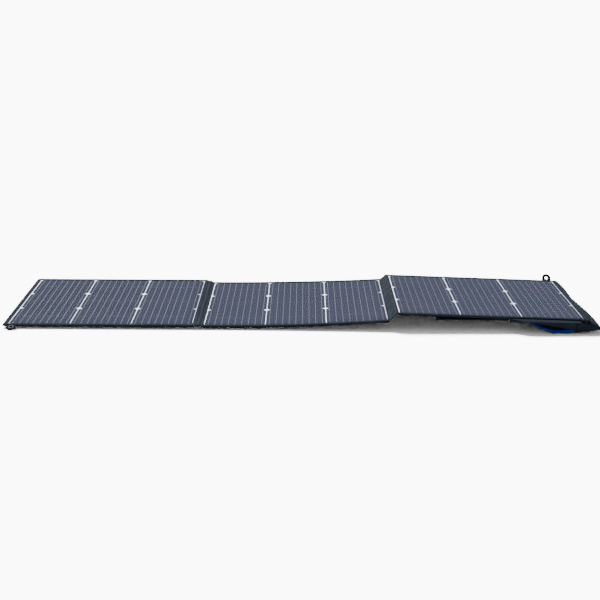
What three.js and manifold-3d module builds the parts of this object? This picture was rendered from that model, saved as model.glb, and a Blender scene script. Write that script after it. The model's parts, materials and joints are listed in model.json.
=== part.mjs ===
// Folding solar panel: three rigid boards with solar cells, joined by two fabric fold strips.
// Millimetres. +X runs along the unfolded row of boards, +Y to the back edge, +Z up.
// The origin is at the middle of the footprint, on the ground.
import * as THREE from 'three';
import { mergeVertices } from 'three/addons/utils/BufferGeometryUtils.js';
import Module from 'manifold-3d';

const wasm = await Module();
wasm.setup();

// ---- Driving dimensions ----
const CELL = 166; // side of a pseudo-square solar cell
const CELL_CORNER = 8.6; // leg of a cell's cut corner
const COLUMN_PITCH = 168.5;
const ROW_PITCH = 166.8;
const CELLS_PER_SIDE = 3;
const HALF_ACTIVE_X = (COLUMN_PITCH * CELLS_PER_SIDE) / 2;
const HALF_ACTIVE_Y = (ROW_PITCH * CELLS_PER_SIDE) / 2;
const FREE_MARGIN = 14.5; // fabric border at the object's outer edges
const FOLD_MARGIN = 6; // fabric border beside a fold strip
const EDGE_Y = HALF_ACTIVE_Y + FREE_MARGIN;
const GAP = 0.3; // clearance between neighbouring pieces
const BOARD_CENTRE_HEIGHTS = [10, 14.6, 32]; // cell plane above the ground at each board's centre
const BOARD_CENTRES_X = [-552.6, -13.4, 524.8];
const BOARDS_Y = 3; // the pocket and the tabs reach further to the front than to the back
const SLOPES = [0, 1.73, -1.73]; // degrees that each board rises towards +X
const FRONT_LIFTS = [0, 0.48, 1.72]; // degrees that each board rises towards the front

// Heights of a board's layers, from its cell plane
const LAYERS = {
  cover: [1.0, 1.8],
  film: [0.3, 0.7],
  cell: [-0.4, 0],
  backsheet: [-1.3, -0.7],
  board: [-3.0, -1.6],
  trayFloor: [-4.4, -3.3],
};
const TRAY_WALL = 1.2;
const WINDOW_LIP = 1; // the front cover's window stops this far outside the cells
const LAYER_INSET = TRAY_WALL + GAP;

// Support legs, each a board in a fabric sleeve
const LEG_WIDTH = 198;
const LEG_THICKNESS = 5;
const LEG_BACK = 95; // where a leg is hinged, from the board's centre
const LEG_FRONTS = [-215, -215, -260];
const LEG_OFFSETS_X = [0, 0, -52];
const LEG_GAPS = [0.6, 0.6, 3];
const LEG_ROLLS = [0, 0, -1.5]; // degrees that a leg hangs lower on its left
const SLEEVE_WALL = 1;

// Fold strips: an upper and a lower fabric with a flat link cable between them
const FOLD_RIDGES = [2, 5]; // how far the middle stands above a straight line
const FOLD_STEPS = 10;
const FOLD_FABRIC = 1;
const LINK_THICKNESS = 0.8;
const LINK_HALF_WIDTH = 9;
const FOLD_TOP_HEIGHT = 0.5;

// Corner tabs with eyelets
const TAB_WIDTH = 27;
const TAB_REACH = 22; // from a board's edge to the tab's round end
const TAB_EYELET = 8.3; // from a board's edge to the eyelet's middle
const TAB_THICKNESS = 1.6;
const EYELET_BORE = 5; // radius
const EYELET_WALL = 0.6;
const EYELET_FLANGE = 7.4; // radius
const EYELET_RIM = 0.6;
// droop is how many degrees a tab hangs below its board, lift how far its root stands off the edge
const TABS = [
  { name: 'front_left', board: 0, x: -241, side: -1, droop: 20, off: 0.6, height: -1.6, sewn: 0 },
  { name: 'back_left', board: 0, x: -240, side: 1, droop: 20, off: 0.6, height: -1.6, sewn: 0 },
  { name: 'front_right', board: 2, x: 253, side: -1, droop: 0, off: 0, height: 2.1, sewn: 9 },
  { name: 'back_right', board: 2, x: 239, side: 1, droop: -55, off: 2.4, height: -1, sewn: 0 },
];

// Storage pocket slung under the third board, open at the front
const POCKET_LEFT = 96; // its left seam, from the third board's centre
const POCKET_FRONT = -285;
const POCKET_BACK = 80;
const POCKET_TIP = 26; // how far its right side bulges past the board at the mouth
const POCKET_TIP_HEIGHT = 13; // above the ground
const POCKET_LOW = 80; // the lowest line, right of the left seam
const POCKET_WALL = 1.4;
const LINING_WALL = 1;
const POCKET_GROUNDED = 0.6; // share of the depth that lies on the ground
const POCKET_SEAM_DROP = 2;
const POCKET_CLOSING = 0.4; // share of the height that its lowest line has risen at the back
const POCKET_STATIONS = 8;
const SAG_STEPS = 12; // cross-section points up to the board's edge
const TIP_STEPS = 3; // and beyond it
const TIP_TAPER = 5; // a layer stops this many times its inset short of the tip
const ROOF_CUT = 6;
const MOUTH_CUT = 5;
const HEM = { depth: 5, thickness: 2.6 };
// The flap over the pocket's mouth hangs unevenly. Its hem, at places across the board from its
// centre: how far it stands out from the board's edge, and how far it hangs below it.
const FLAP_HEM = [
  { at: 48, out: 5, drop: 9 },
  { at: 88, out: 27.5, drop: 2.5 },
  { at: 112, out: 27.5, drop: 3.5 },
  { at: 222, out: 27.5, drop: 21 },
];
const FLAP_SLOPE = 0.8; // how far the flap falls before it hangs down
const FLAP_THICKNESS = 1.4;
const FLAP_STEPS = 12;
const GUSSET = { from: 132, to: 184, y: -286.6, thickness: 1.3 }; // closes the mouth's right end
const POCKET_TAPE = { from: 100, to: 160, depth: 20, thickness: 1 };

// Junction box on the third board's back, inside the pocket
const JUNCTION = { x: 170, y: -12, width: 92, depth: 46, height: 8, wall: 1.6 };
const JUNCTION_LID = 2;
const DIODE_BOARD = 1.6;
const GLAND = { radius: 2.6, bore: 1.7, length: 14, flange: 3.7, flangeLength: 3 };

// ---- Materials ----
function material(name, color, roughness, metalness = 0) {
  return new THREE.MeshStandardMaterial({ name, color, roughness, metalness });
}
const textile = () => material('textile', 0x23252c, 0.92);
const lining = () => material('blue_lining', 0x1d55c8, 0.85);
const silicon = () => material('silicon_cell', 0x3f4656, 0.35);
const film = () => material('film', 0xe6e8ec, 0.3);
const whiteSheet = () => material('white_sheet', 0xf0f0ee, 0.6);
const board = () => material('stiff_board', 0x8e8a80, 0.8);
const plastic = () => material('black_plastic', 0x17181b, 0.5);
const metal = () => material('dark_metal', 0x4a4c50, 0.4, 0.9);
const copper = () => material('ribbon_copper', 0xb87333, 0.4, 0.8);
const tape = () => material('hook_tape', 0x1b1c20, 0.95);

// ---- Geometry helpers ----
function toSolid(geometry) {
  const bare = geometry.index ? geometry.toNonIndexed() : geometry.clone();
  bare.deleteAttribute('normal');
  bare.deleteAttribute('uv');
  const merged = mergeVertices(bare, 1e-4);
  return new wasm.Manifold(
    new wasm.Mesh({
      numProp: 3,
      vertProperties: new Float32Array(merged.attributes.position.array),
      triVerts: new Uint32Array(merged.index.array),
    }),
  );
}

function toGeometry(solid) {
  const mesh = solid.getMesh();
  const geometry = new THREE.BufferGeometry();
  geometry.setAttribute('position', new THREE.BufferAttribute(mesh.vertProperties, 3));
  geometry.setIndex(new THREE.BufferAttribute(mesh.triVerts, 1));
  geometry.computeVertexNormals();
  return geometry;
}

function cut(whole, ...tools) {
  return toGeometry(tools.reduce((left, tool) => left.subtract(toSolid(tool)), toSolid(whole)));
}

function join(...pieces) {
  return toGeometry(pieces.map(toSolid).reduce((left, right) => left.add(right)));
}

function block(x0, x1, y0, y1, z0, z1) {
  const box = new THREE.BoxGeometry(x1 - x0, y1 - y0, z1 - z0);
  return box.translate((x0 + x1) / 2, (y0 + y1) / 2, (z0 + z1) / 2);
}

function extrudeUp(shape, z0, z1, curveSegments = 8) {
  const settings = { depth: z1 - z0, bevelEnabled: false, curveSegments };
  return new THREE.ExtrudeGeometry(shape, settings).translate(0, 0, z0);
}

// Skins rings of the same number of points, given in order, and closes both ends.
function loft(rings) {
  const size = rings[0].length;
  const points = rings.flat();
  const triangles = [];
  for (let r = 0; r + 1 < rings.length; r++) {
    for (let i = 0; i < size; i++) {
      const a = r * size + i;
      const b = r * size + ((i + 1) % size);
      triangles.push(a, a + size, b, b, a + size, b + size);
    }
  }
  // End caps of strips whose ring runs out along one side and back along the other
  const last = (rings.length - 1) * size;
  for (let i = 0; i < size / 2 - 1; i++) {
    const j = size - 1 - i;
    triangles.push(i, i + 1, j, i + 1, j - 1, j);
    triangles.push(last + i, last + j, last + i + 1, last + i + 1, last + j, last + j - 1);
  }
  const geometry = new THREE.BufferGeometry().setFromPoints(points);
  geometry.setIndex(triangles);
  geometry.computeVertexNormals();
  return geometry;
}

function addMesh(parent, name, geometry, finish) {
  const mesh = new THREE.Mesh(geometry, finish);
  mesh.name = name;
  parent.add(mesh);
  return mesh;
}

// ---- One board and its layers ----
function boardEdges(index) {
  const left = index === 0 ? FREE_MARGIN : FOLD_MARGIN;
  const right = index === 2 ? FREE_MARGIN : FOLD_MARGIN;
  return [-HALF_ACTIVE_X - left, HALF_ACTIVE_X + right];
}

function frontCover(left, right) {
  const [z0, z1] = LAYERS.cover;
  const windowX = HALF_ACTIVE_X + WINDOW_LIP;
  const windowY = HALF_ACTIVE_Y + WINDOW_LIP;
  return cut(
    block(left, right, -EDGE_Y, EDGE_Y, z0, z1),
    block(-windowX, windowX, -windowY, windowY, z0 - 1, z1 + 1),
  );
}

function innerLayer(left, right, [z0, z1]) {
  const y = EDGE_Y - LAYER_INSET;
  return block(left + LAYER_INSET, right - LAYER_INSET, -y, y, z0, z1);
}

function backTray(left, right) {
  const [z0, floorTop] = LAYERS.trayFloor;
  const rim = LAYERS.film[1];
  return cut(
    block(left, right, -EDGE_Y, EDGE_Y, z0, rim),
    block(left + TRAY_WALL, right - TRAY_WALL, -EDGE_Y + TRAY_WALL, EDGE_Y - TRAY_WALL, floorTop, rim + 1),
  );
}

function cellPlate(x, y) {
  const h = CELL / 2;
  const c = h - CELL_CORNER;
  const outline = [[-c, -h], [c, -h], [h, -c], [h, c], [c, h], [-c, h], [-h, c], [-h, -c]];
  const shape = new THREE.Shape(outline.map(([px, py]) => new THREE.Vector2(px, py)));
  return extrudeUp(shape, ...LAYERS.cell).translate(x, y, 0);
}

// The nine cells and the ribbons that join them, as one string
function cellString() {
  const pieces = [];
  const middle = (CELLS_PER_SIDE - 1) / 2;
  const [z0, z1] = LAYERS.cell;
  const ribbonLow = z0 + 0.1;
  const ribbonHigh = z1 - 0.1;
  for (let column = 0; column < CELLS_PER_SIDE; column++) {
    const x = (column - middle) * COLUMN_PITCH;
    for (let row = 0; row < CELLS_PER_SIDE; row++) {
      pieces.push(cellPlate(x, (row - middle) * ROW_PITCH));
    }
    for (const offset of [-CELL / 3, 0, CELL / 3]) {
      const reach = ROW_PITCH + 2;
      pieces.push(block(x + offset - 1, x + offset + 1, -reach, reach, ribbonLow, ribbonHigh));
    }
  }
  const crossReach = COLUMN_PITCH + 2;
  pieces.push(block(-crossReach, crossReach, -3, 3, ribbonLow + 0.05, ribbonHigh - 0.05));
  return join(...pieces);
}

function addLeg(group, index, tag) {
  const leg = new THREE.Group();
  const top = LAYERS.trayFloor[0] - LEG_GAPS[index];
  leg.position.set(LEG_OFFSETS_X[index], 0, top);
  leg.rotation.y = THREE.MathUtils.degToRad(LEG_ROLLS[index]);
  group.add(leg);
  const half = LEG_WIDTH / 2;
  const front = LEG_FRONTS[index];
  const inner = half - SLEEVE_WALL;
  const bottom = -LEG_THICKNESS;
  const sleeve = cut(
    block(-half, half, front, LEG_BACK, bottom, 0),
    block(-inner, inner, front - 1, LEG_BACK + 1, bottom + SLEEVE_WALL, -SLEEVE_WALL),
  );
  addMesh(leg, `leg_sleeve_${tag}`, sleeve, textile());
  const inset = SLEEVE_WALL + GAP;
  const stiffener = block(
    -half + inset, half - inset, front + 2, LEG_BACK - 2, bottom + inset, -inset,
  );
  addMesh(leg, `leg_board_${tag}`, stiffener, board());
  const underside = LAYERS.trayFloor[0] - GAP;
  const x = LEG_OFFSETS_X[index];
  const anchor = block(x - half, x + half, LEG_BACK + 3, LEG_BACK + 28, underside - 1.2, underside);
  addMesh(group, `leg_anchor_${tag}`, anchor, tape());
}

function addBoard(root, index) {
  const tag = index + 1;
  const group = new THREE.Group();
  group.position.set(BOARD_CENTRES_X[index], BOARDS_Y, BOARD_CENTRE_HEIGHTS[index]);
  group.rotation.set(
    THREE.MathUtils.degToRad(-FRONT_LIFTS[index]),
    THREE.MathUtils.degToRad(-SLOPES[index]),
    0,
  );
  root.add(group);
  group.updateMatrixWorld(true);
  const [left, right] = boardEdges(index);
  addMesh(group, `front_cover_${tag}`, frontCover(left, right), textile());
  addMesh(group, `front_film_${tag}`, innerLayer(left, right, LAYERS.film), film());
  addMesh(group, `cell_string_${tag}`, cellString(), silicon());
  addMesh(group, `backsheet_${tag}`, innerLayer(left, right, LAYERS.backsheet), whiteSheet());
  addMesh(group, `stiffener_${tag}`, innerLayer(left, right, LAYERS.board), board());
  addMesh(group, `back_cover_${tag}`, backTray(left, right), textile());
  addLeg(group, index, tag);
  return group;
}

// ---- Fabric fold strips between the boards ----
// A band from one board's edge to the next one's, with a rounded ridge along its middle.
function foldBand(boards, index, height, thickness, reachY) {
  const startX = boardEdges(index)[1] + GAP;
  const endX = boardEdges(index + 1)[0] - GAP;
  const rings = [-reachY, reachY].map((y) => {
    const start = boards[index].localToWorld(new THREE.Vector3(startX, y, height));
    const end = boards[index + 1].localToWorld(new THREE.Vector3(endX, y, height));
    const upper = [];
    for (let i = 0; i <= FOLD_STEPS; i++) {
      const t = i / FOLD_STEPS;
      const point = start.clone().lerp(end, t);
      point.z += FOLD_RIDGES[index] * Math.sin(Math.PI * t);
      upper.push(point);
    }
    const lower = upper.map((point) => point.clone().setZ(point.z - thickness));
    return [...lower, ...upper.reverse()];
  });
  return loft(rings);
}

function addFold(root, boards, index) {
  const tag = index + 1;
  const linkTop = FOLD_TOP_HEIGHT - FOLD_FABRIC * 1.5 - GAP;
  const backTop = linkTop - LINK_THICKNESS * 1.5 - GAP;
  const top = foldBand(boards, index, FOLD_TOP_HEIGHT, FOLD_FABRIC, EDGE_Y);
  addMesh(root, `fold_top_${tag}`, top, textile());
  const link = foldBand(boards, index, linkTop, LINK_THICKNESS, LINK_HALF_WIDTH);
  addMesh(root, `fold_link_${tag}`, link, copper());
  const back = foldBand(boards, index, backTop, FOLD_FABRIC, EDGE_Y);
  addMesh(root, `fold_back_${tag}`, back, textile());
}

// ---- Corner tabs ----
function tabOutline(sewn) {
  const half = TAB_WIDTH / 2;
  const outline = new THREE.Shape();
  outline.moveTo(-half, -sewn);
  outline.lineTo(half, -sewn);
  outline.lineTo(half, TAB_REACH - half);
  outline.absarc(0, TAB_REACH - half, half, 0, Math.PI, false);
  outline.lineTo(-half, -sewn);
  const hole = new THREE.Path();
  hole.absarc(0, TAB_EYELET, EYELET_BORE + EYELET_WALL + GAP, 0, 2 * Math.PI, true);
  outline.holes.push(hole);
  return outline;
}

function eyelet() {
  const barrel = EYELET_BORE + EYELET_WALL;
  const inside = TAB_THICKNESS / 2 + GAP;
  const outside = inside + EYELET_RIM;
  const profile = [
    [EYELET_BORE, -outside], [EYELET_FLANGE, -outside], [EYELET_FLANGE, -inside], [barrel, -inside],
    [barrel, inside], [EYELET_FLANGE, inside], [EYELET_FLANGE, outside], [EYELET_BORE, outside],
    [EYELET_BORE, -outside],
  ];
  const ring = new THREE.LatheGeometry(profile.map(([r, z]) => new THREE.Vector2(r, z)), 24);
  return ring.rotateX(Math.PI / 2);
}

// side is +1 for a tab on the back edge and -1 for one on the front edge
function addTab(boards, { name, board: index, x, side, droop, off, height, sewn }) {
  const root = new THREE.Group();
  root.position.set(x, side * (EDGE_Y + off), height);
  root.rotation.z = side > 0 ? 0 : Math.PI;
  const tab = new THREE.Group();
  tab.rotation.x = THREE.MathUtils.degToRad(-droop);
  root.add(tab);
  boards[index].add(root);
  addMesh(tab, `corner_tab_${name}`, extrudeUp(tabOutline(sewn), 0, TAB_THICKNESS, 10), textile());
  addMesh(tab, `eyelet_${name}`, eyelet().translate(0, TAB_EYELET, TAB_THICKNESS / 2), metal());
}

// ---- Pocket ----
// The pocket hangs under the third board like a hammock: from its left seam down to the ground,
// then gently up to a tip beyond the board's right edge. Distances are across the object at depth y.
function pocketSection(group, y) {
  const share = THREE.MathUtils.clamp((y - POCKET_FRONT) / (POCKET_BACK - POCKET_FRONT), 0, 1);
  const underside = LAYERS.trayFloor[0] - GAP;
  const left = group.localToWorld(new THREE.Vector3(POCKET_LEFT, y, underside));
  const right = group.localToWorld(new THREE.Vector3(boardEdges(2)[1], y, underside));
  const closing = Math.max(0, (share - POCKET_GROUNDED) / (1 - POCKET_GROUNDED));
  const tipHeight = THREE.MathUtils.lerp(POCKET_TIP_HEIGHT, right.z - 3, share);
  return {
    y: left.y,
    left,
    right,
    tip: { x: right.x + POCKET_TIP * (1 - share) + 2, z: tipHeight },
    low: { x: left.x + POCKET_LOW, z: POCKET_CLOSING * left.z * closing ** 2 },
  };
}

function pocketBottom({ left, low, tip }, x) {
  if (x < low.x) {
    const t = (low.x - x) / (low.x - left.x);
    return low.z + (left.z - POCKET_SEAM_DROP - low.z) * (1 - Math.sqrt(Math.max(0, 1 - t ** 2.4)));
  }
  const t = (x - low.x) / (tip.x - low.x);
  return low.z + (tip.z - 1 - low.z) * t ** 1.6;
}

function pocketTop({ left, right, tip }, x) {
  if (x <= right.x) {
    return THREE.MathUtils.mapLinear(x, left.x, right.x, left.z, right.z);
  }
  return THREE.MathUtils.mapLinear(x, right.x, tip.x, right.z, tip.z + 1);
}

// A hollow's ring reaches above the pocket's roof, so cutting it away leaves the pocket open to the board.
// Its right end may keep the roof beyond the board's edge.
function pocketRing(section, y, inset, hollow) {
  const { left, right, tip } = section;
  const xs = [];
  for (let i = 0; i <= SAG_STEPS; i++) {
    const t = i / SAG_STEPS;
    xs.push(THREE.MathUtils.lerp(left.x + inset, right.x, t * t * (1.6 - 0.6 * t)));
  }
  const end = Math.max(tip.x - TIP_TAPER * inset, right.x + 0.5 - inset / 10);
  for (let i = 1; i <= TIP_STEPS; i++) {
    xs.push(THREE.MathUtils.lerp(right.x, end, i / TIP_STEPS));
  }
  const below = xs.map((x) => new THREE.Vector3(x, y, pocketBottom(section, x) + inset));
  const above = below.map(({ x, z }) => {
    const opened = hollow === 'whole' || (hollow === 'under board' && x < right.x - 1);
    const shift = opened ? ROOF_CUT : -Math.min(1, Math.max(0, x - right.x + 1)) * inset;
    return new THREE.Vector3(x, y, Math.max(pocketTop(section, x) + shift, z + 0.3));
  });
  return [...below, ...above.reverse()];
}

function pocketBody(group, inset, frontExtra, hollow = 'none') {
  const rings = [];
  for (let i = 0; i <= POCKET_STATIONS; i++) {
    const back = i === POCKET_STATIONS ? inset : 0;
    const y = THREE.MathUtils.lerp(POCKET_FRONT, POCKET_BACK, i / POCKET_STATIONS) - back;
    const section = pocketSection(group, y);
    rings.push(pocketRing(section, section.y - (i === 0 ? frontExtra : 0), inset, hollow));
  }
  return loft(rings);
}

// A band that follows the pocket's lower wall, between two distances from the left seam
function pocketBand(group, y, depth, lift, thickness, from, to) {
  const rings = [y, y + depth].map((at) => {
    const section = pocketSection(group, at);
    const start = section.left.x + from;
    const end = Math.min(section.left.x + to, section.tip.x - 1);
    const below = [];
    for (let i = 0; i <= SAG_STEPS; i++) {
      const x = THREE.MathUtils.lerp(start, end, i / SAG_STEPS);
      below.push(new THREE.Vector3(x, section.y, pocketBottom(section, x) + lift));
    }
    const above = below.map((point) => point.clone().setZ(point.z + thickness));
    return [...below, ...above.reverse()];
  });
  return loft(rings);
}

function flapHem(x) {
  const next = Math.max(1, FLAP_HEM.findIndex(({ at }) => at >= x));
  const [a, b] = FLAP_HEM.slice(next - 1, next + 1);
  const { mapLinear } = THREE.MathUtils;
  return { out: mapLinear(x, a.at, b.at, a.out, b.out), drop: mapLinear(x, a.at, b.at, a.drop, b.drop) };
}

// A flap that runs out from the board's front edge and then hangs down to its slanting hem
function pocketFlap() {
  const first = FLAP_HEM[0].at;
  const last = FLAP_HEM.at(-1).at;
  const rootY = -EDGE_Y - GAP;
  const rootZ = LAYERS.trayFloor[0] + FLAP_THICKNESS + 1;
  const rings = [];
  for (let i = 0; i <= FLAP_STEPS; i++) {
    const x = THREE.MathUtils.lerp(first, last, i / FLAP_STEPS);
    const { out, drop } = flapHem(x);
    const inner = out - FLAP_THICKNESS;
    const section = [
      [rootY, rootZ], [rootY, rootZ - FLAP_THICKNESS],
      [rootY - inner, rootZ - FLAP_SLOPE - FLAP_THICKNESS], [rootY - inner, rootZ - drop - FLAP_THICKNESS],
      [rootY - out, rootZ - drop - FLAP_THICKNESS], [rootY - out, rootZ - FLAP_SLOPE],
    ];
    rings.push(section.map(([y, z]) => new THREE.Vector3(x, y, z)));
  }
  return loft(rings);
}

function pocketGusset(group) {
  const { from, to, y, thickness } = GUSSET;
  const rings = [y, y + thickness].map((at) => {
    const section = pocketSection(group, at);
    const below = [];
    const above = [];
    for (let i = 0; i <= SAG_STEPS; i++) {
      const x = section.left.x + THREE.MathUtils.lerp(from, to, i / SAG_STEPS);
      const low = pocketBottom(section, x) + HEM.thickness + GAP;
      below.push(new THREE.Vector3(x, section.y - thickness, low));
      const high = Math.max(pocketTop(section, x), low + 0.5);
      above.unshift(new THREE.Vector3(x, section.y - thickness, high));
    }
    return [...below, ...above];
  });
  return loft(rings);
}

function addPocket(root, group) {
  const liningInset = POCKET_WALL + GAP;
  const hollowInset = liningInset + LINING_WALL;
  const shell = cut(pocketBody(group, 0, 0), pocketBody(group, POCKET_WALL, MOUTH_CUT, 'under board'));
  addMesh(root, 'pocket_shell', shell, textile());
  const liner = cut(pocketBody(group, liningInset, 0), pocketBody(group, hollowInset, MOUTH_CUT, 'whole'));
  addMesh(root, 'pocket_lining', liner, lining());
  const hemY = POCKET_FRONT - HEM.depth - GAP;
  const hem = pocketBand(group, hemY, HEM.depth, 0, HEM.thickness, 2, Infinity);
  addMesh(root, 'pocket_hem', hem, textile());
  addMesh(group, 'pocket_flap', pocketFlap(), textile());
  addMesh(root, 'pocket_gusset', pocketGusset(group), textile());
  const { from, to, depth, thickness } = POCKET_TAPE;
  const loopY = POCKET_FRONT + 8;
  const loop = pocketBand(group, loopY, depth, hollowInset + GAP, thickness, from - POCKET_LEFT + 40, to);
  addMesh(root, 'pocket_loop_tape', loop, tape());
  const underside = LAYERS.trayFloor[0] - GAP;
  const hookY = -EDGE_Y + 6;
  const hook = block(from + 30, to + 60, hookY, hookY + depth, underside - thickness, underside);
  addMesh(group, 'pocket_hook_tape', hook, tape());
}

// ---- Junction box ----
function addJunctionBox(group) {
  const { x, y, width, depth, height, wall } = JUNCTION;
  const top = LAYERS.trayFloor[0] - GAP;
  const bottom = top - height;
  const glandY = y - depth / 2;
  const glandZ = (top + bottom) / 2 - 0.4;
  const hole = new THREE.CylinderGeometry(GLAND.radius + GAP, GLAND.radius + GAP, 4 * wall, 20);
  const base = cut(
    block(x - width / 2, x + width / 2, glandY, y + depth / 2, bottom, top),
    block(
      x - width / 2 + wall, x + width / 2 - wall, glandY + wall, y + depth / 2 - wall, bottom - 1, top - wall,
    ),
    hole.translate(x, glandY, glandZ),
  );
  addMesh(group, 'junction_base', base, plastic());
  const lid = block(
    x - width / 2, x + width / 2, glandY, y + depth / 2, bottom - GAP - JUNCTION_LID, bottom - GAP,
  );
  addMesh(group, 'junction_lid', lid, plastic());
  const inner = wall + 2;
  const diodes = block(
    x - width / 2 + inner, x + width / 2 - inner, y - 2, y + depth / 2 - inner,
    top - wall - GAP - DIODE_BOARD, top - wall - GAP,
  );
  addMesh(group, 'diode_board', diodes, copper());
  const { radius, bore, length, flange, flangeLength } = GLAND;
  const profile = [
    [bore, 0], [radius, 0], [radius, length - flangeLength], [flange, length - flangeLength],
    [flange, length], [bore, length], [bore, 0],
  ];
  const gland = new THREE.LatheGeometry(profile.map(([r, z]) => new THREE.Vector2(r, z)), 20);
  gland.rotateX(Math.PI).translate(x, glandY + wall + 3, glandZ);
  addMesh(group, 'cable_gland', gland, plastic());
}

// ---- Assembly ----
const root = new THREE.Group();
const boards = [0, 1, 2].map((index) => addBoard(root, index));
addFold(root, boards, 0);
addFold(root, boards, 1);
TABS.forEach((tab) => addTab(boards, tab));
addPocket(root, boards[2]);
addJunctionBox(boards[2]);
export default root;
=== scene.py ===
"""A folding solar panel, unfolded on a pale floor: cloth-covered boards, cells and a slack pocket."""

import json
import math

import bmesh
import bpy
import numpy as np
from mathutils import Matrix, Vector, noise

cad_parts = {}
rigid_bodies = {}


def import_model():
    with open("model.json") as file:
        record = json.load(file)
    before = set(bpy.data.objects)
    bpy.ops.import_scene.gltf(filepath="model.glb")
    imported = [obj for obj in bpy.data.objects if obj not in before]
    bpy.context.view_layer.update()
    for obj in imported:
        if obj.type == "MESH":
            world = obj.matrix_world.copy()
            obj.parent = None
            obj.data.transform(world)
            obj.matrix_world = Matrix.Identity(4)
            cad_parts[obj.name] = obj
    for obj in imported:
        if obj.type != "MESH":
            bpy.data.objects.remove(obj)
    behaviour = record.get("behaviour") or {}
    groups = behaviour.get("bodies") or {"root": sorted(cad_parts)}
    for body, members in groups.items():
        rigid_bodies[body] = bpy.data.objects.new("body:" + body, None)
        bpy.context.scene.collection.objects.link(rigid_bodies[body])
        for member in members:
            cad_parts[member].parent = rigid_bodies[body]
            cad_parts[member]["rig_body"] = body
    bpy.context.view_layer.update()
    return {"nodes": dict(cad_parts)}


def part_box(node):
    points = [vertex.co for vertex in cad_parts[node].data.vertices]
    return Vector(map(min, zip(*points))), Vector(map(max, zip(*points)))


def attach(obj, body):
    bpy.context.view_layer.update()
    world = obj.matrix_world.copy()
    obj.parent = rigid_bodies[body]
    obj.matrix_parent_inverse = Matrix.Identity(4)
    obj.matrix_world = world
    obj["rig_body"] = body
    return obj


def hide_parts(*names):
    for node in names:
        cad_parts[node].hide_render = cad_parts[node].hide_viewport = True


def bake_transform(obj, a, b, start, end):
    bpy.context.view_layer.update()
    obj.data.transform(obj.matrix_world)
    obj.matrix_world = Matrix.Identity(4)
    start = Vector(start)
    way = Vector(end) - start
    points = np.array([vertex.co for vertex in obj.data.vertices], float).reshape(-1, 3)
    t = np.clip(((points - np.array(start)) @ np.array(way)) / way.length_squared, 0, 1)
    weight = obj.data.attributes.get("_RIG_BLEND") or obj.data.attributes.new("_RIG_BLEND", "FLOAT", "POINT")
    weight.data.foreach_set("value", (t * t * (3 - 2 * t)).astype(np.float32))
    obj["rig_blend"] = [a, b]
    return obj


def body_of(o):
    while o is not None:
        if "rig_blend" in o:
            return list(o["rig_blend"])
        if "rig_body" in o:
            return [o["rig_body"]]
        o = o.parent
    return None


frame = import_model()

# ---- Driving dimensions, in metres ----
MM = 0.001
CELL = 0.166
CELL_CORNER = 0.0086
CELL_SPREAD = 0.4 * MM  # how far a cell's dark edge reads past its cut size
RIBBONS_PER_CELL = 9
RIBBON_WIDTH = 1.1 * MM
CELL_TOP = 0.0  # heights are from a board's cell plane
CELL_THICKNESS = 0.35 * MM
FILM_HEIGHT = 0.55 * MM
FILM_ABOVE_PLANE = 0.5 * MM  # middle of the CAD film
WHITE_HEIGHT = -0.45 * MM
COVER_TOP = 1.5 * MM
COVER_BOTTOM = -4.4 * MM
WINDOW_LIP = (2.9 * MM, 0.2 * MM)  # white margin outside the cells along x and y
BOARD_CORNER = 7 * MM
FOLD_THICKNESS = 1.4 * MM
POCKET_THICKNESS = 1.2 * MM
LINING_THICKNESS = 0.8 * MM

# How the flexible boards depart from flat: bow along x, twist, and rise of the back edge
BOARD_SHAPES = {
    1: {"bow": 0.0, "sag": 0.0, "twist": 0.0, "back": 1.0 * MM},
    2: {"bow": 4.1 * MM, "sag": -4.0 * MM, "twist": 2.0 * MM, "back": 0.0},
    3: {"bow": 0.0, "sag": 0.0, "twist": 0.4 * MM, "back": 0.0, "rim": 7 * MM},
}
HALF_CELLS = 0.2515

# Camera, at the angle the object is seen from
CAMERA_PLACE = Vector((0.0064, -3.8976, 1.0211))
CAMERA_PITCH = math.radians(14.432)
CAMERA_YAW = math.radians(0.132)
CAMERA_ROLL = math.radians(0.299)
CAMERA_LENS = 82.5


# ---- Camera, floor and light ----
def add_camera():
    data = bpy.data.cameras.new("camera")
    data.lens = CAMERA_LENS
    data.sensor_width = 36
    camera = bpy.data.objects.new("camera", data)
    turn = Matrix.Rotation(CAMERA_YAW, 4, "Z") @ Matrix.Rotation(math.pi / 2 - CAMERA_PITCH, 4, "X")
    camera.matrix_world = Matrix.Translation(CAMERA_PLACE) @ turn @ Matrix.Rotation(CAMERA_ROLL, 4, "Z")
    bpy.context.scene.collection.objects.link(camera)
    bpy.context.scene.camera = camera


def add_floor():
    size = 60
    corners = [(-size, -size, 0), (size, -size, 0), (size, size, 0), (-size, size, 0)]
    paint = plain_material("floor_paint", (0.97, 0.97, 0.97), 0.9)
    floor = new_object("floor", corners, [(0, 1, 2, 3)], paint)
    floor.location.z = -0.2 * MM


def add_soft_light(name, toward, softness, strength):
    """Even light from one side of the sky, as from a large overhead panel."""
    data = bpy.data.lights.new(name, "SUN")
    data.angle = math.radians(softness)
    data.energy = strength
    light = bpy.data.objects.new(name, data)
    light.rotation_euler = Vector(toward).to_track_quat("-Z", "Y").to_euler()
    bpy.context.scene.collection.objects.link(light)


def add_world():
    world = bpy.data.worlds.new("studio")
    world.use_nodes = True
    background = world.node_tree.nodes["Background"]
    background.inputs["Color"].default_value = (1, 1, 1, 1)
    background.inputs["Strength"].default_value = 0.6
    bpy.context.scene.world = world


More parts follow.
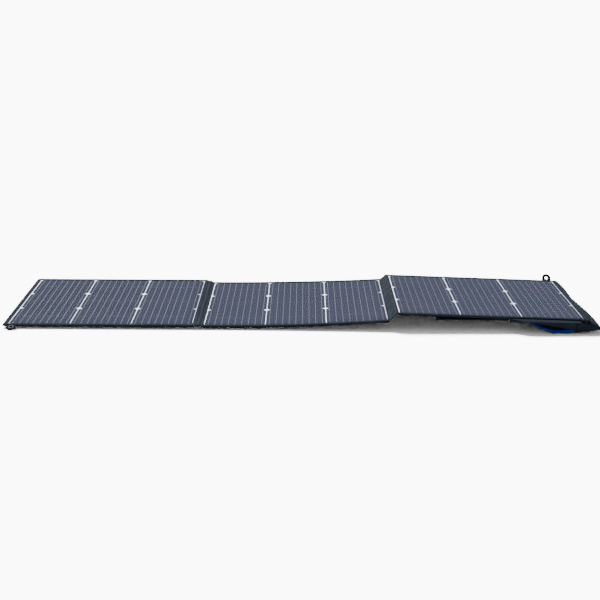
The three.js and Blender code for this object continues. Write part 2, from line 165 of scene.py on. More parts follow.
# ---- Materials ----
class Nodes:
    """Short names for building one material's node tree."""

    def __init__(self, name):
        self.material = bpy.data.materials.new(name)
        self.material.use_nodes = True
        self.tree = self.material.node_tree
        self.shader = self.tree.nodes["Principled BSDF"]
        self.place = self.tree.nodes.new("ShaderNodeTexCoord").outputs["Object"]

    def node(self, kind, **settings):
        made = self.tree.nodes.new("ShaderNode" + kind)
        for key, value in settings.items():
            setattr(made, key, value)
        return made

    def link(self, start, end):
        self.tree.links.new(start, end)

    def noise(self, scale, detail=3.0, place=None):
        made = self.node("TexNoise")
        made.inputs["Scale"].default_value = scale
        made.inputs["Detail"].default_value = detail
        self.link(place or self.place, made.inputs["Vector"])
        return made.outputs["Fac"]

    def bands(self, direction, period, place=None):
        """Sine bands with the given period in metres."""
        made = self.node("TexWave", wave_type="BANDS", bands_direction=direction)
        made.inputs["Scale"].default_value = math.pi / (10 * period)
        made.inputs["Distortion"].default_value = 0
        self.link(place or self.place, made.inputs["Vector"])
        return made.outputs["Fac"]

    def math(self, operation, a, b):
        made = self.node("Math", operation=operation)
        for value, socket in ((a, made.inputs[0]), (b, made.inputs[1])):
            if isinstance(value, (int, float)):
                socket.default_value = value
            else:
                self.link(value, socket)
        return made.outputs[0]

    def ramp(self, factor, *stops):
        made = self.node("ValToRGB")
        elements = made.color_ramp.elements
        while len(elements) < len(stops):
            elements.new(0.5)
        for element, (position, color) in zip(elements, stops):
            element.position = position
            element.color = (*color, 1)
        self.link(factor, made.inputs["Fac"])
        return made.outputs["Color"]

    def mix(self, factor, a, b, blend="MIX"):
        made = self.node("Mix", data_type="RGBA", blend_type=blend)
        for value, socket in ((factor, made.inputs[0]), (a, made.inputs[6]), (b, made.inputs[7])):
            if isinstance(value, (int, float)):
                socket.default_value = value
            elif isinstance(value, tuple):
                socket.default_value = (*value, 1)
            else:
                self.link(value, socket)
        return made.outputs[2]

    def bump(self, height, strength, distance):
        made = self.node("Bump")
        made.inputs["Strength"].default_value = strength
        made.inputs["Distance"].default_value = distance
        self.link(height, made.inputs["Height"])
        self.link(made.outputs["Normal"], self.shader.inputs["Normal"])

    def set(self, **values):
        for key, value in values.items():
            socket = self.shader.inputs[key.replace("_", " ")]
            socket.default_value = (*value, 1) if isinstance(value, tuple) else value


def plain_material(name, color, roughness):
    made = Nodes(name)
    made.set(Base_Color=color, Roughness=roughness, Specular_IOR_Level=0.02)
    return made.material


def woven_material(name, dark, light, thread, sheen=0.0, roughness=0.9, bump=0.35):
    """Plain weave: crossing threads, slow shade changes and a little dust."""
    made = Nodes(name)
    warp = made.bands("X", thread)
    weft = made.bands("Y", thread)
    over = made.bands("X", 2 * thread)
    across = made.bands("Y", 2 * thread)
    checks = made.math("MULTIPLY", made.math("SUBTRACT", over, 0.5), made.math("SUBTRACT", across, 0.5))
    threads = made.math("ADD", made.math("MAXIMUM", warp, weft), made.math("MULTIPLY", checks, 1.2))
    patches = made.noise(30, 4)
    dust = made.noise(260, 2)
    shade = made.ramp(patches, (0.1, dark), (0.9, light))
    thread_tone = made.ramp(threads, (0.2, (0.35, 0.35, 0.35)), (1.0, (1, 1, 1)))
    woven = made.mix(0.45, shade, thread_tone, "MULTIPLY")
    lighter = tuple(min(1, 1.8 * c + 0.001) for c in light)
    specks = made.ramp(dust, (0.66, (0, 0, 0)), (0.78, (0.5, 0.5, 0.5)))
    made.link(made.mix(specks, woven, lighter), made.shader.inputs["Base Color"])
    worn = made.ramp(patches, (0.2, (roughness,) * 3), (0.8, (roughness * 0.9,) * 3))
    made.link(worn, made.shader.inputs["Roughness"])
    made.set(Sheen_Weight=sheen, Sheen_Roughness=0.5, Specular_IOR_Level=0.004)
    made.bump(threads, bump, 0.3 * thread)
    return made.material


def lining_material():
    made = Nodes("blue_lining")
    threads = made.math("MAXIMUM", made.bands("X", 0.5 * MM), made.bands("Y", 0.5 * MM))
    creases_and_painted_shade = made.noise(38, 4)
    # The colour follows the crease noise: painted shade in the crease hollows and painted light on the
    # ridges.
    color = made.ramp(creases_and_painted_shade, (0.3, (0.003, 0.018, 0.15)), (0.75, (0.006, 0.045, 0.34)))
    made.link(color, made.shader.inputs["Base Color"])
    made.set(Roughness=0.6, Sheen_Weight=0.0, Specular_IOR_Level=0.01)
    made.bump(made.math("ADD", threads, made.math("MULTIPLY", creases_and_painted_shade, 6)), 0.35, 0.3 * MM)
    return made.material


def silicon_material():
    """Blue-grey wafers with slow violet and teal shifts and fine grid fingers."""
    made = Nodes("silicon")
    drift = made.noise(7.5, 2)
    color = made.ramp(
        drift,
        (0.30, (0.0044, 0.0058, 0.0088)),
        (0.48, (0.0052, 0.0058, 0.0094)),
        (0.66, (0.0064, 0.0060, 0.0098)),
    )
    fingers = made.bands("Y", 1.5 * MM)
    finger_tone = made.ramp(fingers, (0.55, (0, 0, 0)), (0.95, (0.003, 0.0035, 0.005)))
    lit = made.mix(0.16, color, finger_tone, "SCREEN")
    made.link(lit, made.shader.inputs["Base Color"])
    made.set(Roughness=0.6, Specular_IOR_Level=0.0)
    made.bump(fingers, 0.05, 0.02 * MM)
    return made.material


def ribbon_material():
    made = Nodes("ribbon")
    made.set(Specular_IOR_Level=0.02)
    tone = made.ramp(made.noise(60, 3), (0.3, (0.024, 0.028, 0.042)), (0.7, (0.034, 0.039, 0.056)))
    made.link(tone, made.shader.inputs["Base Color"])
    made.set(Metallic=0.1, Roughness=0.5)
    made.bump(made.noise(500, 2), 0.2, 0.05 * MM)
    return made.material


def white_material():
    made = Nodes("white_sheet")
    tone = made.ramp(made.noise(25, 3), (0.3, (0.42, 0.46, 0.56)), (0.7, (0.50, 0.54, 0.64)))
    made.link(tone, made.shader.inputs["Base Color"])
    made.set(Roughness=0.5)
    made.bump(made.noise(700, 2), 0.1, 0.05 * MM)
    return made.material


def film_material():
    """Clear embossed fluoropolymer: mostly see-through, with a diamond hatch."""
    made = Nodes("front_film")
    turn = made.node("Mapping")
    turn.inputs["Rotation"].default_value = (0, 0, math.radians(38))
    made.link(made.place, turn.inputs["Vector"])
    turned = turn.outputs["Vector"]
    diamonds = made.math("MULTIPLY", made.bands("X", 3.2 * MM, turned), made.bands("Y", 3.2 * MM, turned))
    tone = made.ramp(diamonds, (0.2, (0.022, 0.024, 0.034)), (0.8, (0.034, 0.037, 0.050)))
    made.link(tone, made.shader.inputs["Base Color"])
    made.set(Roughness=0.5, Alpha=0.14, Specular_IOR_Level=0.0)
    made.bump(diamonds, 0.2, 0.05 * MM)
    return made.material


def moulded_material(name, color, roughness, metallic=0.0):
    made = Nodes(name)
    grain = made.noise(1400, 3)
    dark, light = (tuple(share * c for c in color) for share in (0.8, 1.25))
    tone = made.ramp(made.noise(45, 3), (0.3, dark), (0.7, light))
    made.link(tone, made.shader.inputs["Base Color"])
    worn = made.ramp(grain, (0.3, (roughness * 0.85,) * 3), (0.7, (roughness * 1.1,) * 3))
    made.link(worn, made.shader.inputs["Roughness"])
    made.set(Metallic=metallic, Specular_IOR_Level=0.03)
    made.bump(grain, 0.25, 0.05 * MM)
    return made.material


def hook_material(name, low, high):
    made = Nodes(name)
    hooks = made.node("TexVoronoi")
    hooks.inputs["Scale"].default_value = 900
    made.link(made.place, hooks.inputs["Vector"])
    distance = hooks.outputs["Distance"]
    made.link(made.ramp(distance, (0.1, high), (0.6, low)), made.shader.inputs["Base Color"])
    made.set(Roughness=0.95, Specular_IOR_Level=0.005)
    made.bump(distance, 0.8, 0.4 * MM)
    return made.material


# ---- Mesh helpers ----
def new_object(name, points, faces, material, smooth=False):
    mesh = bpy.data.meshes.new(name)
    mesh.from_pydata([tuple(p) for p in points], [], faces)
    mesh.update()
    if smooth:
        mesh.polygons.foreach_set("use_smooth", [True] * len(mesh.polygons))
    mesh.materials.append(material)
    made = bpy.data.objects.new(name, mesh)
    bpy.context.scene.collection.objects.link(made)
    return made


def grid_faces(rows, columns, start=0, flip=False):
    faces = []
    for r in range(rows - 1):
        for c in range(columns - 1):
            a = start + r * columns + c
            quad = (a, a + 1, a + columns + 1, a + columns)
            faces.append(quad[::-1] if flip else quad)
    return faces


def rim_faces(rows, columns, start=0):
    """Faces joining the outer edge of one grid to the same grid one layer on."""
    count = rows * columns
    edge = [*range(columns)]
    edge += [r * columns + columns - 1 for r in range(1, rows)]
    edge += [(rows - 1) * columns + c for c in range(columns - 2, -1, -1)]
    edge += [r * columns for r in range(rows - 2, 0, -1)]
    edge = [start + i for i in edge]
    return [(b, a, a + count, b + count) for a, b in zip(edge, edge[1:] + edge[:1])]


def thick_sheet(name, grid, thickness, material):
    """A closed sheet of cloth: the grid of points is its face, and its back is one thickness behind."""
    face = np.array([[tuple(p) for p in row] for row in grid])
    across = np.gradient(face, axis=1)
    along = np.gradient(face, axis=0)
    normal = np.cross(across, along)
    normal /= np.linalg.norm(normal, axis=2, keepdims=True) + 1e-12
    back = face - thickness * normal
    rows, columns = face.shape[:2]
    count = rows * columns
    points = [*face.reshape(-1, 3), *back.reshape(-1, 3)]
    faces = grid_faces(rows, columns) + grid_faces(rows, columns, count, flip=True)
    faces += rim_faces(rows, columns)
    return new_object(name, points, faces, material, smooth=True)


def soften(name, node, material):
    """A cloth copy of a sewn CAD piece, with rolled edges and a slight unevenness."""
    source = frame["nodes"][node]
    shape = bmesh.new()
    shape.from_mesh(source.data)
    bmesh.ops.remove_doubles(shape, verts=shape.verts, dist=0.01 * MM)
    bmesh.ops.dissolve_limit(shape, angle_limit=math.radians(2), verts=shape.verts, edges=shape.edges)
    sharp = [e for e in shape.edges if len(e.link_faces) == 2 and e.calc_face_angle() > math.radians(40)]
    bmesh.ops.bevel(shape, geom=sharp, offset=0.35 * MM, segments=2, profile=0.5, affect="EDGES")
    bmesh.ops.triangulate(shape, faces=shape.faces)
    shape.normal_update()
    for vertex in shape.verts:
        vertex.co += vertex.normal * wrinkle(vertex.co, 180, 0.12 * MM)
    mesh = bpy.data.meshes.new(name)
    shape.to_mesh(mesh)
    shape.free()
    mesh.materials.append(material)
    made = bpy.data.objects.new(name, mesh)
    bpy.context.scene.collection.objects.link(made)
    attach(made, body_of(source)[0])
    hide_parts(node)


def bevel(obj, width, segments=2):
    modifier = obj.modifiers.new("rounded edges", "BEVEL")
    modifier.width = width
    modifier.segments = segments
    modifier.limit_method = "ANGLE"
    modifier.angle_limit = math.radians(40)
    modifier.harden_normals = True


def wrinkle(point, scale, height, seed=0.0):
    """Smooth noise in the cloth, the same each run."""
    return height * noise.noise(Vector(point) * scale + Vector((seed, 0, 0)))


# ---- Flat pieces' own frames, read from their CAD boxes ----
class Plate:
    """The middle, the axes and the extents of a flat CAD node, wherever it is tilted."""

    def __init__(self, node, shape=None):
        points = np.array([v.co for v in frame["nodes"][node].data.vertices])
        total, difference = points[:, 0] + points[:, 1], points[:, 0] - points[:, 1]

        def corner(values):
            return Vector(points[values > values.max() - 3 * MM].mean(axis=0))

        low_left, low_right = corner(-total), corner(difference)
        high_left, high_right = corner(-difference), corner(total)
        self.middle = (low_left + low_right + high_left + high_right) / 4
        self.x = (low_right - low_left + high_right - high_left).normalized()
        self.y = (high_left - low_left + high_right - low_right).normalized()
        self.z = self.x.cross(self.y).normalized()
        self.y = self.z.cross(self.x)
        self.shape = shape

    def extents(self, node):
        points = [v.co - self.middle for v in frame["nodes"][node].data.vertices]
        local = np.array([(p.dot(self.x), p.dot(self.y), p.dot(self.z)) for p in points])
        return local.min(axis=0), local.max(axis=0)

    def offset(self, x, y):
        if not self.shape:
            return 0.0
        s, front = x / HALF_CELLS, -y / HALF_CELLS
        shape = self.shape
        bend = shape["sag"] + shape["bow"] * s * s
        return bend + shape["twist"] * max(s, 0.0) * front + shape["back"] * (1 - front)

    def rim(self, x, y):
        """How far the slack border bulges out past the right edge of the cells."""
        start = HALF_CELLS + 4 * MM
        if not self.shape or x < start:
            return 0.0
        reach = (x - start) / (self.right - start)
        return self.shape.get("rim", 0) * reach * math.exp(-(((y - 0.15) / 0.14) ** 2))

    def point(self, x, y, z):
        x += self.rim(x, y)
        return self.middle + self.x * x + self.y * y + self.z * (z + self.offset(x, y))


def read_board(k):
    board = Plate(f"front_film_{k}", BOARD_SHAPES[k])
    low, high = board.extents(f"back_cover_{k}")
    cells_low, cells_high = board.extents(f"cell_string_{k}")
    shift = (cells_low + cells_high) / 2
    board.middle += board.x * shift[0] - board.z * FILM_ABOVE_PLANE
    board.left, board.right = low[0] - shift[0], high[0] - shift[0]
    board.front, board.back = low[1], high[1]
    board.half_cells = ((cells_high - cells_low) / 2)[:2]
    board.pitch = board.half_cells - CELL / 2
    return board


# ---- Loops: rounded rectangles stacked into a closed body ----
def rounded_loop(plate, x0, x1, y0, y1, radius, z, side_points=20, corner_points=5):
    corners = [(x1, y0, -90), (x1, y1, 0), (x0, y1, 90), (x0, y0, 180)]
    arcs = []
    for cx, cy, start in corners:
        mx = cx - math.copysign(radius, cx - (x0 + x1) / 2)
        my = cy - math.copysign(radius, cy - (y0 + y1) / 2)
        turns = [math.radians(start + 90 * i / corner_points) for i in range(corner_points + 1)]
        arcs.append([(mx + radius * math.cos(a), my + radius * math.sin(a)) for a in turns])
    flat = []
    for arc, following in zip(arcs, arcs[1:] + arcs[:1]):
        flat += arc
        (ax, ay), (bx, by) = arc[-1], following[0]
        steps = [i / side_points for i in range(1, side_points)]
        flat += [(ax + (bx - ax) * t, ay + (by - ay) * t) for t in steps]
    return [plate.point(x, y, z) for x, y in flat]


def stacked_body(name, loops, material):
    size = len(loops[0])
    points = [p for loop in loops for p in loop]
    faces = []
    for r in range(len(loops) - 1):
        for i in range(size):
            j = (i + 1) % size
            faces.append((r * size + i, (r + 1) * size + i, (r + 1) * size + j, r * size + j))
    faces.append(tuple(range(size)))
    faces.append(tuple(reversed([(len(loops) - 1) * size + i for i in range(size)])))
    return new_object(name, points, faces, material, smooth=True)


def shrinking_loops(plate, box, z, shares):
    x0, x1, y0, y1 = box
    cx, cy = (x0 + x1) / 2, (y0 + y1) / 2
    loops = []
    for share in shares:
        x = [cx + (v - cx) * share for v in (x0, x1)]
        y = [cy + (v - cy) * share for v in (y0, y1)]
        loops.append(rounded_loop(plate, *x, *y, 6 * MM * share, z))
    return loops


# ---- One board ----
def cover_window(board):
    half_x, half_y = board.half_cells
    return (-half_x - WINDOW_LIP[0], half_x + WINDOW_LIP[0], -half_y - WINDOW_LIP[1], half_y + WINDOW_LIP[1])


def add_cover(board, k):
    """The fabric round a board: a window edge, a sewn valley, a rounded rim and the back."""
    window = cover_window(board)
    outer = (board.left, board.right, board.front, board.back)
    floor = -0.9 * MM
    loops = shrinking_loops(board, window, floor, (0.05, 0.5, 0.9, 0.99))
    profile = [(0, floor), (0, 0.8), (0.04, 1.25), (0.12, 1.5), (0.24, 1.42), (0.3, 1.05), (0.36, 1.42)]
    profile += [(0.5, 1.62), (0.68, 1.5), (0.76, 1.12), (0.84, 1.5), (0.93, 1.35), (0.98, 0.9)]
    for share, z in profile:
        box = [a + (b - a) * share for a, b in zip(window, outer)]
        height = z if z == floor else z * MM
        loops.append(rounded_loop(board, *box, (1 + 6 * share) * MM, height))
    rim = [(0, 0.1), (0, -1.4), (0, -2.8), (0.35, -3.7), (1.3, -4.3), (4, -4.4), (12, -4.4), (40, -4.4)]
    for inset, z in rim:
        box = [outer[0] + inset * MM, outer[1] - inset * MM, outer[2] + inset * MM, outer[3] - inset * MM]
        loops.append(rounded_loop(board, *box, BOARD_CORNER, z * MM))
    box = [outer[0] + 0.04, outer[1] - 0.04, outer[2] + 0.04, outer[3] - 0.04]
    loops += shrinking_loops(board, box, COVER_BOTTOM, (0.9, 0.7, 0.4, 0.05))
    cover = stacked_body(f"cover_{k}", loops, TEXTILE)
    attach(cover, f"panel_{k}")
    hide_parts(f"front_cover_{k}", f"back_cover_{k}", f"stiffener_{k}")


def add_stitches(board, k):
    """Two rows of thread dashes sunk in the border's valleys."""
    window = cover_window(board)
    outer = (board.left, board.right, board.front, board.back)
    points, faces = [], []
    length, gap, width, height = 2.6 * MM, 1.5 * MM, 0.45 * MM, 0.4 * MM
    for share, z in ((0.3, 1.1 * MM), (0.76, 1.15 * MM)):
        x0, x1, y0, y1 = [a + (b - a) * share for a, b in zip(window, outer)]
        corners = [(x0, y0), (x1, y0), (x1, y1), (x0, y1)]
        for (ax, ay), (bx, by) in zip(corners, corners[1:] + corners[:1]):
            span = math.hypot(bx - ax, by - ay)
            dx, dy = (bx - ax) / span, (by - ay) / span
            for i in range(int((span - 12 * MM) / (length + gap))):
                at = 6 * MM + i * (length + gap)
                start = len(points)
                for along, side, up in ((0, -1, 0), (0, 1, 0), (1, 1, 0), (1, -1, 0), (0.5, 0, 1)):
                    reach = at + along * length
                    px = ax + dx * reach - dy * side * width / 2
                    py = ay + dy * reach + dx * side * width / 2
                    points.append(board.point(px, py, z + (height if up else -0.1 * MM)))
                sides = [(0, 3, 4), (3, 2, 4), (2, 1, 4), (1, 0, 4), (0, 1, 2, 3)]
                faces += [tuple(start + i for i in side) for side in sides]
    stitches = new_object(f"stitches_{k}", points, faces, THREAD)
    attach(stitches, f"panel_{k}")


def flat_sheet(board, name, box, z, thickness, material, steps=14):
    x0, x1, y0, y1 = box
    grid = [
        [board.point(x0 + (x1 - x0) * i / steps, y0 + (y1 - y0) * j / steps, z) for i in range(steps + 1)]
        for j in range(steps + 1)
    ]
    return thick_sheet(name, grid, thickness, material)


def add_white_and_film(board, k):
    window = cover_window(board)
    white = flat_sheet(board, f"white_sheet_{k}", window, WHITE_HEIGHT, 0.3 * MM, WHITE)
    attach(white, f"panel_{k}")
    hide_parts(f"backsheet_{k}")
    film = flat_sheet(board, f"film_{k}", window, FILM_HEIGHT, 0.15 * MM, FILM)
    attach(film, f"panel_{k}")
    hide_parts(f"front_film_{k}")


def cell_slices(half, corner):
    """Places across a cell and how far it reaches at each, so that the corners are cut."""
    inner = half - corner
    middle = [inner * (2 * i / 6 - 1) for i in range(7)]
    return [(-half, inner)] + [(x, half) for x in middle] + [(half, inner)]


def add_cells(board, k):
    points, faces = [], []
    slices = cell_slices(CELL / 2 + CELL_SPREAD, CELL_CORNER)
    columns = len(slices)
    rows = 5
    for i in (-1, 0, 1):
        for j in (-1, 0, 1):
            cx, cy = i * board.pitch[0], j * board.pitch[1]
            start = len(points)
            for z in (CELL_TOP, CELL_TOP - CELL_THICKNESS):
                for r in range(rows):
                    for x, reach in slices:
                        y = reach * (2 * r / (rows - 1) - 1)
                        points.append(board.point(cx + x, cy + y, z))
            count = rows * columns
            faces += grid_faces(rows, columns, start)
            faces += grid_faces(rows, columns, start + count, flip=True)
            faces += rim_faces(rows, columns, start)
    cells = new_object(f"cells_{k}", points, faces, SILICON)
    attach(cells, f"panel_{k}")
    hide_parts(f"cell_string_{k}")


def add_strip(points, faces, board, ends, width, z, height, steps):
    """A thin bar on a board from one (x, y) to another, following the board's shape."""
    (ax, ay), (bx, by) = ends
    span = math.hypot(bx - ax, by - ay)
    sx, sy = -(by - ay) / span * width / 2, (bx - ax) / span * width / 2
    start = len(points)
    for i in range(steps + 1):
        x, y = ax + (bx - ax) * i / steps, ay + (by - ay) * i / steps
        for side, up in ((1, 0), (1, 1), (-1, 1), (-1, 0)):
            points.append(board.point(x + side * sx, y + side * sy, z + up * height))
    for i in range(steps):
        a = start + 4 * i
        for c in range(4):
            d = (c + 1) % 4
            faces.append((a + c, a + d, a + 4 + d, a + 4 + c))
    faces.append((start + 3, start + 2, start + 1, start))
    last = start + 4 * steps
    faces.append((last, last + 1, last + 2, last + 3))


def add_ribbons(board, k):
    """Nine flat silver ribbons down each column, and the dots where they are soldered at the back."""
    points, faces = [], []
    half_y = board.half_cells[1]
    spacing = CELL / RIBBONS_PER_CELL
    for i in (-1, 0, 1):
        for n in range(RIBBONS_PER_CELL):
            x = i * board.pitch[0] + (n - (RIBBONS_PER_CELL - 1) / 2) * spacing
            ends = ((x, -half_y), (x, half_y))
            add_strip(points, faces, board, ends, RIBBON_WIDTH, CELL_TOP - 0.02 * MM, 0.14 * MM, 12)
            for y in (half_y - 1 * MM, -half_y + 1 * MM):
                ends = ((x - 1.3 * MM, y), (x + 1.3 * MM, y))
                add_strip(points, faces, board, ends, 1.6 * MM, CELL_TOP - 0.02 * MM, 0.18 * MM, 1)
    ribbons = new_object(f"ribbons_{k}", points, faces, RIBBON)
    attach(ribbons, f"panel_{k}")


def add_scribes(board, k):
    """The faint line across the middle of each cell."""
    points, faces = [], []
    for i in (-1, 0, 1):
        for j in (-1, 0, 1):
            cx, cy = i * board.pitch[0], j * board.pitch[1]
            ends = ((cx - CELL / 2 + 1 * MM, cy), (cx + CELL / 2 - 1 * MM, cy))
            add_strip(points, faces, board, ends, 0.8 * MM, CELL_TOP - 0.02 * MM, 0.06 * MM, 8)
    scribes = new_object(f"scribes_{k}", points, faces, SCRIBE)
    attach(scribes, f"panel_{k}")


def add_leg(k):
    """A leg's sewn sleeve: a soft-edged slab over its stiffener."""
    shape = BOARD_SHAPES[k] if k == 2 else None
    leg = Plate(f"leg_sleeve_{k}")
    low, high = leg.extents(f"leg_sleeve_{k}")
    if shape:
        board = boards[k]
        sag = board.offset(*[(leg.middle - board.middle).dot(axis) for axis in (board.x, board.y)])
        leg.middle += leg.z * max(sag, -0.3 * MM)
    middle, half = (low[2] + high[2]) / 2, (high[2] - low[2]) / 2
    loops = []
    rim = [(12, 1), (5, 1), (2.2, 0.9), (0.7, 0.6), (0, 0.1)]
    rim += [(0, -0.3), (0.7, -0.7), (2.2, -0.94), (5, -1), (12, -1)]
    top = [low[0] + 0.03, high[0] - 0.03, low[1] + 0.03, high[1] - 0.03]
    loops += shrinking_loops(leg, top, middle + half, (0.05, 0.6))
    for inset, share in rim:
        i = inset * MM
        box = (low[0] + i, high[0] - i, low[1] + i, high[1] - i)
        loops.append(rounded_loop(leg, *box, 5 * MM, middle + half * share))
    loops += shrinking_loops(leg, top, middle - half, (0.6, 0.05))
    sleeve = stacked_body(f"leg_cover_{k}", loops, TEXTILE)
    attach(sleeve, f"leg_{k}")
    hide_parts(f"leg_sleeve_{k}", f"leg_board_{k}")


# ---- Fold fabric between boards ----
def add_fold(k, ridge, ripple, ripples, lean=1.0):
    """Cloth from one board's rim to the next one's, with lengthwise folds."""
    here, there = boards[k], boards[k + 1]
    rows, columns = 49, 17
    grid = []
    for r in range(rows):
        y = here.front + (here.back - here.front) * r / (rows - 1)
        start = here.point(here.right - 1.5 * MM, y, 0.9 * MM)
        end = there.point(there.left + 1.5 * MM, y, 0.9 * MM)
        row = []
        for c in range(columns):
            t = c / (columns - 1)
            point = start.lerp(end, t)
            hump = math.sin(math.pi * t**lean)
            wander = wrinkle((t * 0.6, y * 9, 0), 1.0, 1.0, seed=3.7 * k)
            point.z += ridge * hump * (1 + 0.12 * wander)
            point.z += ripple * hump * math.sin(2 * math.pi * (ripples * t + 0.18 * wander))
            point.z += wrinkle((t * 3, y * 40, 1), 1.0, 0.5 * MM * hump, seed=k)
            row.append(point)
        grid.append(row)
    # The fold's material is the covers' cloth painted lighter, for the light on the folds.
    fold = thick_sheet(f"fold_fabric_{k}", grid, FOLD_THICKNESS, LIT_FOLD_TEXTILE)
    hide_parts(f"fold_top_{k}", f"fold_link_{k}", f"fold_back_{k}")
    edge_y = (here.front + here.back) / 2
    start = here.point(here.right, edge_y, 0)
    end = there.point(there.left, edge_y, 0)
    end.z = start.z
    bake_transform(fold, f"panel_{k}", f"panel_{k + 1}", start=tuple(start), end=tuple(end))


# ---- Pocket ----
class Pocket:
    """The slack pocket's section at any depth, hung between the third board and the ground."""

    low_share = 0.4
    tip_reach = 26 * MM
    tip_height = 13 * MM
    grounded = 0.6
    bulge = 6 * MM

    def __init__(self, board):
        self.board = board
        self.low, self.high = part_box("pocket_shell")
        self.edge_x = board.point(board.right, 0, 0).x

    def under(self, x, y):
        """Height of the board's underside over a place."""
        board = self.board
        anchor = board.middle + board.z * (COVER_BOTTOM - 0.4 * MM)
        offset = (x - anchor.x) * board.z.x + (y - anchor.y) * board.z.y
        return anchor.z - offset / board.z.z

    def section(self, share):
        y = self.low.y + share * (self.high.y - self.low.y)
        left, right = self.low.x, self.edge_x
        closing = max(0.0, (share - self.grounded) / (1 - self.grounded))
        right_height = self.under(right, y)
        tip_x = right + self.tip_reach * (1 - share) + 2 * MM + self.bulge * math.sin(math.pi * share**0.8)
        tip_z = self.tip_height + (right_height - 3 * MM - self.tip_height) * share
        bottom_x = left + self.low_share * (right - left)
        bottom_z = self.low.z + 0.4 * self.under(left, y) * closing**2
        return y, left, right, tip_x, tip_z, bottom_x, bottom_z

    def bottom(self, share, x):
        y, left, _, tip_x, tip_z, bottom_x, bottom_z = self.section(share)
        if x < bottom_x:
            t = (bottom_x - x) / (bottom_x - left)
            seam = self.under(left, y) - 1.5 * MM
            # Straight at the mouth, and slacker towards the back, under the junction box
            return bottom_z + (seam - bottom_z) * t ** (1.12 + 2.4 * share)
        t = (x - bottom_x) / (tip_x - bottom_x)
        return bottom_z + (tip_z - bottom_z) * t**1.6


def hammock(pocket, lift, to_tip, front_inset=0.0):
    """A grid over the pocket's lower wall, from the mouth to the back, with slack folds."""
    rows, columns = 37, 41
    grid = []
    for r in range(rows):
        share = r / (rows - 1)
        y, left, right, tip_x, tip_z, bottom_x, _ = pocket.section(share)
        # A layer higher up ends a little short of the one below it at the back
        y += front_inset * (1 - share) - 0.002 * share * lift / MM
        end = tip_x if to_tip else right + 0.35 * (tip_x - right)
        row = []
        for c in range(columns):
            t = c / (columns - 1)
            eased = t * t * (1.6 - 0.6 * t) if t < 1 else 1
            x = left + lift + (end - left - lift) * eased
            z = pocket.bottom(share, x) + lift
            slack = math.sin(math.pi * min(1, t * 1.05)) * (1 - 0.6 * share)
            z += abs(wrinkle((x * 55, y * 9, 0.3), 1.0, 1.6 * MM * slack, seed=9))
            rise = max(0.0, (share - 0.93) / 0.07)
            near = min(1, (right - x + 0.02) / 0.02) if x > right else 1
            z += (pocket.under(x, y) - 0.6 * MM - z) * rise * near
            row.append(Vector((x, y, z)))
        if to_tip:
            roof_steps = 8
            for s in range(1, roof_steps + 1):
                t = s / roof_steps
                x = tip_x + (right - 2 * MM - tip_x) * t
                top = tip_z + (pocket.under(right, y) + 1 * MM - tip_z) * t
                swell = 1.6 * MM * math.sin(math.pi * t)
                row.append(Vector((x + swell * 0.5, y, max(top, tip_z) + swell)))
        grid.append(row)
    return grid


def add_pocket(board):
    pocket = Pocket(board)
    outer_grid = hammock(pocket, POCKET_THICKNESS, to_tip=True)
    outer = thick_sheet("pocket_outer", outer_grid, POCKET_THICKNESS, TEXTILE)
    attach(outer, "panel_3")
    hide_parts("pocket_shell")
    lift = POCKET_THICKNESS + 0.5 * MM + LINING_THICKNESS
    lining_grid = hammock(pocket, lift, to_tip=False, front_inset=-1 * MM)
    lining = thick_sheet("lining", lining_grid, LINING_THICKNESS, LINING)
    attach(lining, "panel_3")
    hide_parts("pocket_lining")
    add_loop_tape(pocket, lift + 0.3 * MM)
    add_binding(outer_grid[0])
    add_flap(pocket)
    add_pocket_end(pocket)


def add_loop_tape(pocket, lift):
    """The fastening tape sewn across the lining, just inside the mouth."""
    low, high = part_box("pocket_loop_tape")
    thickness = 0.8 * MM
    depth = pocket.high.y - pocket.low.y
    grid = []
    for r in range(5):
        y = low.y + (high.y - low.y) * r / 4
        share = (y - pocket.low.y) / depth
        places = [low.x + (high.x - low.x) * c / 24 for c in range(25)]
        grid.append([Vector((x, y, pocket.bottom(share, x) + lift + thickness + 1 * MM)) for x in places])
    tape = thick_sheet("loop_tape", grid, thickness, LOOP)
    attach(tape, "panel_3")
    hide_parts("pocket_loop_tape")


def add_binding(edge):
    """A narrow tape folded over the mouth's lower edge."""
    radius, sides = 1.1 * MM, 8
    points, faces = [], []
    for i, place in enumerate(edge):
        ahead = edge[min(i + 1, len(edge) - 1)] - edge[max(i - 1, 0)]
        ahead.normalize()
        up = ahead.cross(Vector((0, -1, 0))).normalized()
        for s in range(sides):
            angle = 2 * math.pi * s / sides
            out = Vector((0, -1, 0)) * math.cos(angle) * 1.6 + up * math.sin(angle)
            points.append(place + Vector((0, -1.9 * MM, 0.0)) + up * 0.4 * MM + out * radius)
    rings = len(edge)
    for i in range(rings - 1):
        for s in range(sides):
            n = (s + 1) % sides
            faces.append((i * sides + s, i * sides + n, (i + 1) * sides + n, (i + 1) * sides + s))
    faces.append(tuple(reversed(range(sides))))
    faces.append(tuple((rings - 1) * sides + s for s in range(sides)))
    binding = new_object("pocket_binding", points, faces, TEXTILE, smooth=True)
    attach(binding, "panel_3")
    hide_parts("pocket_hem")


def hanging_cloth(root, hem, rows=15):
    """Rows from a line of roots out over a knee and down to a line of hems."""
    grid = []
    for r in range(rows):
        t = r / (rows - 1)
        row = []
        for top, low in zip(root, hem):
            out = min(1, 1.9 * t)
            down = max(0.0, (t - 0.42) / 0.58)
            y = top.y + (low.y - top.y) * math.sin(out * math.pi / 2)
            z = top.z - 0.6 * MM * out + (low.z - top.z + 0.6 * MM) * down**1.2
            y += wrinkle((top.x * 60, t * 2, 0.4), 1.0, 1.2 * MM * t, seed=5)
            row.append(Vector((top.x + (low.x - top.x) * t, y, z)))
        grid.append(row)
    return grid


